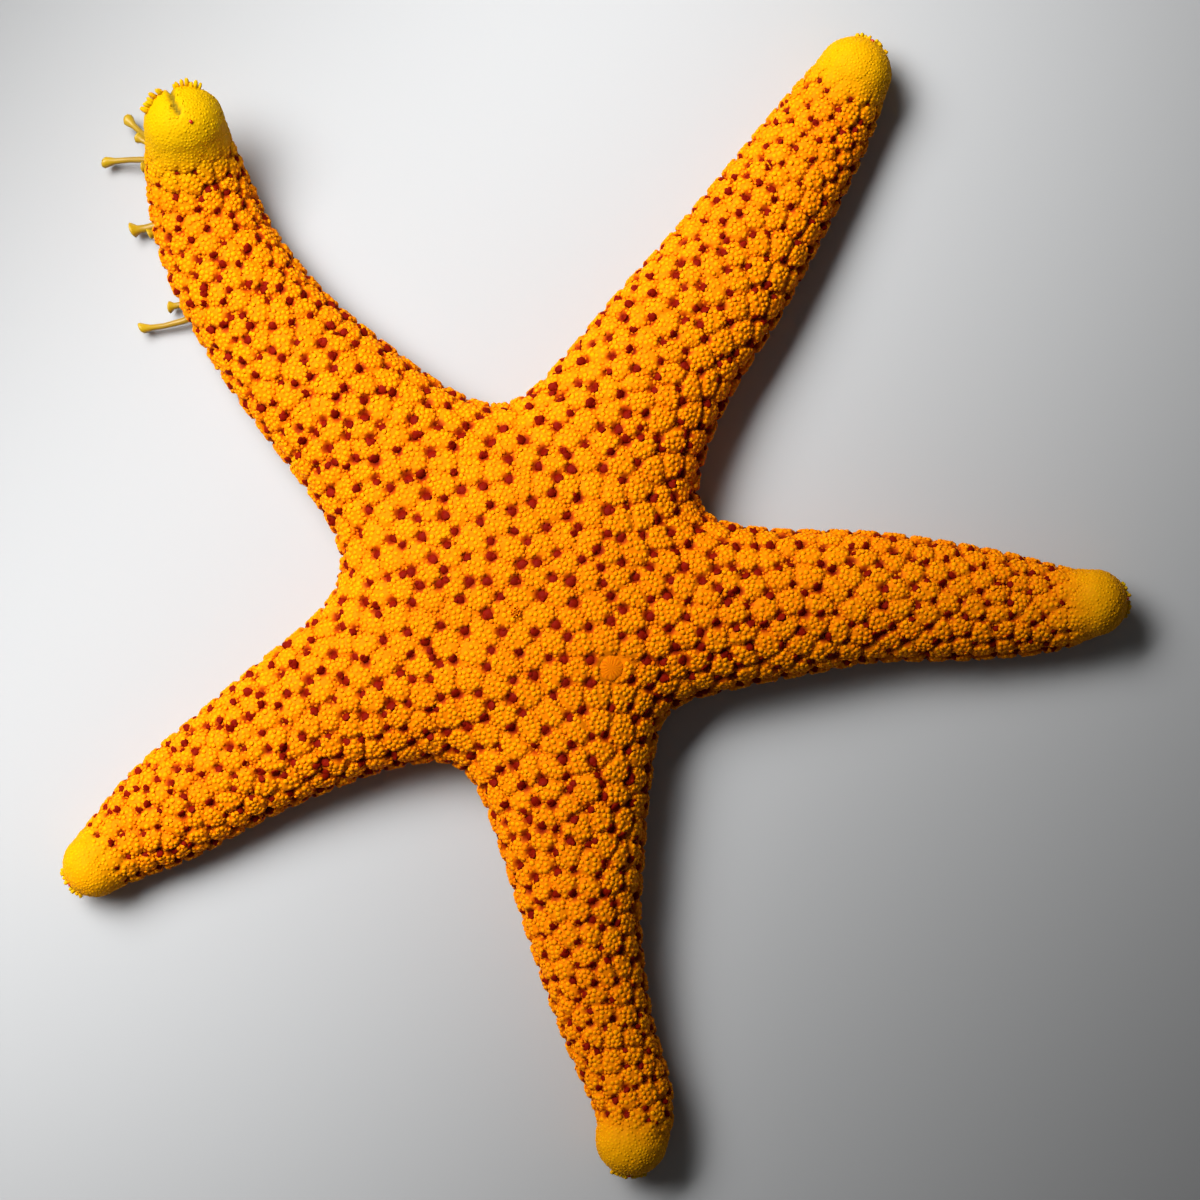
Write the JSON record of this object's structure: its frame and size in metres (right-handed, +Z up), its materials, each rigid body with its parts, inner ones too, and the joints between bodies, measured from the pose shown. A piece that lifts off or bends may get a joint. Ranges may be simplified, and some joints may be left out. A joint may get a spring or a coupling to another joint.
{
  "type": "sea star",
  "caption": "Still, life-size sea star with a low disc and tapering arms, a mosaic of raised plates on top, and a mouth, grooves and tube feet below.",
  "frame": {"origin": "centre of the footprint's box, on the floor that the underside rests on", "axes": "+Z up out of the animal's upper side; +Y and +X in the plane of the floor, +Y towards the two upper arms as seen from above and +X along the right arm"},
  "size_m": [0.115, 0.1229, 0.0136],
  "materials": {
    "skin": "granular, satin, moist",
    "arm_tip": "fine granular, satin",
    "mouth_plate": "satin",
    "sieve_plate": "fine ridges, matte"
  },
  "bodies": {
    "root": {"disc": "skin", "arm_1_inner": "skin", "arm_1_outer": "skin", "arm_1_tip": "arm_tip", "arm_2_inner": "skin", "arm_2_outer": "skin", "arm_2_tip": "arm_tip", "arm_3_inner": "skin", "arm_3_outer": "skin", "arm_3_tip": "arm_tip", "arm_4_inner": "skin", "arm_4_outer": "skin", "arm_4_tip": "arm_tip", "arm_5_inner": "skin", "arm_5_outer": "skin", "arm_5_tip": "arm_tip", "mouth_plate_1": "mouth_plate", "mouth_plate_2": "mouth_plate", "mouth_plate_3": "mouth_plate", "mouth_plate_4": "mouth_plate", "mouth_plate_5": "mouth_plate", "madreporite": "sieve_plate"}
  },
  "joints": []
}
